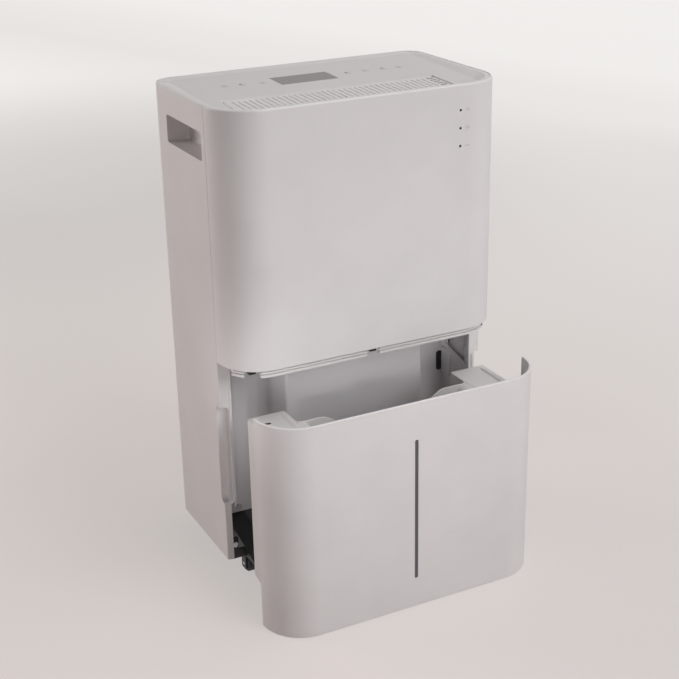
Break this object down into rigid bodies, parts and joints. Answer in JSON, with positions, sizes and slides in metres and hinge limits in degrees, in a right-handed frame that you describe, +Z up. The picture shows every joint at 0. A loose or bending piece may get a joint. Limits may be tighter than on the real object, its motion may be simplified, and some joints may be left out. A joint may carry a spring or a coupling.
{
  "type": "dehumidifier",
  "caption": "Upright room dehumidifier on casters with a rounded front panel, top air outlet, rear filter cassette and a front water bucket drawn out on the floor.",
  "frame": {"origin": "on the floor, at the middle of the whole object's box with the bucket drawn out", "axes": "+X to the right as seen from the front, +Y from the bucket towards the back of the cabinet, +Z up"},
  "size_m": [0.35, 0.312, 0.586],
  "materials": {
    "body_white": "satin moulded",
    "cup_white": "satin moulded",
    "tub_white": "satin moulded",
    "liner_grey": "fine matt",
    "base_black": "fine matt",
    "window_smoke": "smooth",
    "display_dark": "smooth",
    "lamp_dark": "smooth",
    "steel": "plated",
    "motor_steel": "satin",
    "rubber_black": "matt",
    "bumper_grey": "matt",
    "tube_rubber": "matt",
    "wheel_black": "matt",
    "copper": "drawn",
    "coil_aluminium": "mill",
    "compressor_black": "satin",
    "board_green": "smooth",
    "fan_white": "matt",
    "net_grey": "woven net"
  },
  "bodies": {
    "housing": {"rear_shell": "body_white", "side_wall_left": "body_white", "side_wall_right": "body_white", "jamb_left": "body_white", "jamb_right": "body_white", "front_panel": "body_white", "indicator_lenses": "lamp_dark", "handle_cup_left": "cup_white", "handle_cup_right": "cup_white", "bay_header": "body_white", "header_catches": "base_black", "bay_liner": "liner_grey", "level_sensor": "base_black", "bay_bumpers": "bumper_grey", "base_pan": "base_black", "base_screws": "steel", "back_screws": "steel", "caster_sockets": "steel", "top_deck": "body_white", "display_window": "display_dark", "outlet_grille": "body_white", "control_board": "board_green", "drain_port": "cup_white", "drain_tube": "tube_rubber", "cord_gland": "rubber_black", "drip_tray": "liner_grey", "condenser": "coil_aluminium", "evaporator": "coil_aluminium", "compressor": "compressor_black", "compressor_feet": "rubber_black", "accumulator": "compressor_black", "suction_pipe": "copper", "discharge_pipe": "copper", "fan_scroll": "fan_white", "fan_motor": "motor_steel", "mains_board": "board_green", "capacitor": "coil_aluminium"},
    "bucket": {"bucket_cover": "body_white", "bucket_tub": "tub_white", "level_window": "window_smoke"},
    "float": {"level_float": "fan_white"},
    "fan": {"fan_wheel": "fan_white", "fan_shaft": "steel", "fan_nut": "steel"},
    "filter": {"filter_frame": "body_white", "filter_mesh": "net_grey"},
    "plug": {"drain_plug": "rubber_black"},
    "fork_front_left": {"caster_fork_front_left": "base_black", "caster_axle_front_left": "steel"},
    "wheel_front_left": {"caster_wheel_front_left": "wheel_black"},
    "fork_front_right": {"caster_fork_front_right": "base_black", "caster_axle_front_right": "steel"},
    "wheel_front_right": {"caster_wheel_front_right": "wheel_black"},
    "fork_rear_left": {"caster_fork_rear_left": "base_black", "caster_axle_rear_left": "steel"},
    "wheel_rear_left": {"caster_wheel_rear_left": "wheel_black"},
    "fork_rear_right": {"caster_fork_rear_right": "base_black", "caster_axle_rear_right": "steel"},
    "wheel_rear_right": {"caster_wheel_rear_right": "wheel_black"}
  },
  "joints": [
    {"name": "bucket_slide", "type": "slide", "parent": "housing", "child": "bucket", "axis": [0, 0.9639, 0.2661], "range_m": [0, 0.0995]},
    {"name": "float_swing", "type": "hinge", "parent": "bucket", "child": "float", "pos_m": [-0.134, -0.068, 0.19], "axis": [1, 0, 0], "range_deg": [-30, 0]},
    {"name": "fan_spin", "type": "hinge", "parent": "housing", "child": "fan", "pos_m": [0, -0.01, 0.415], "axis": [0, 1, 0], "continuous": true},
    {"name": "filter_pull", "type": "slide", "parent": "housing", "child": "filter", "axis": [0, 1, 0], "range_m": [0, 0.06]},
    {"name": "plug_pull", "type": "slide", "parent": "housing", "child": "plug", "axis": [0, 1, 0], "range_m": [0, 0.03]},
    {"name": "swivel_front_left", "type": "hinge", "parent": "housing", "child": "fork_front_left", "pos_m": [-0.138, 0.003, 0.03], "axis": [0, 0, 1], "continuous": true},
    {"name": "roll_front_left", "type": "hinge", "parent": "fork_front_left", "child": "wheel_front_left", "pos_m": [-0.138, 0.012, 0.011], "axis": [1, 0, 0], "continuous": true},
    {"name": "swivel_front_right", "type": "hinge", "parent": "housing", "child": "fork_front_right", "pos_m": [0.138, 0.003, 0.03], "axis": [0, 0, 1], "continuous": true},
    {"name": "roll_front_right", "type": "hinge", "parent": "fork_front_right", "child": "wheel_front_right", "pos_m": [0.138, 0.012, 0.011], "axis": [1, 0, 0], "continuous": true},
    {"name": "swivel_rear_left", "type": "hinge", "parent": "housing", "child": "fork_rear_left", "pos_m": [-0.128, 0.125, 0.03], "axis": [0, 0, 1], "continuous": true},
    {"name": "roll_rear_left", "type": "hinge", "parent": "fork_rear_left", "child": "wheel_rear_left", "pos_m": [-0.128, 0.134, 0.011], "axis": [1, 0, 0], "continuous": true},
    {"name": "swivel_rear_right", "type": "hinge", "parent": "housing", "child": "fork_rear_right", "pos_m": [0.128, 0.125, 0.03], "axis": [0, 0, 1], "continuous": true},
    {"name": "roll_rear_right", "type": "hinge", "parent": "fork_rear_right", "child": "wheel_rear_right", "pos_m": [0.128, 0.134, 0.011], "axis": [1, 0, 0], "continuous": true}
  ]
}
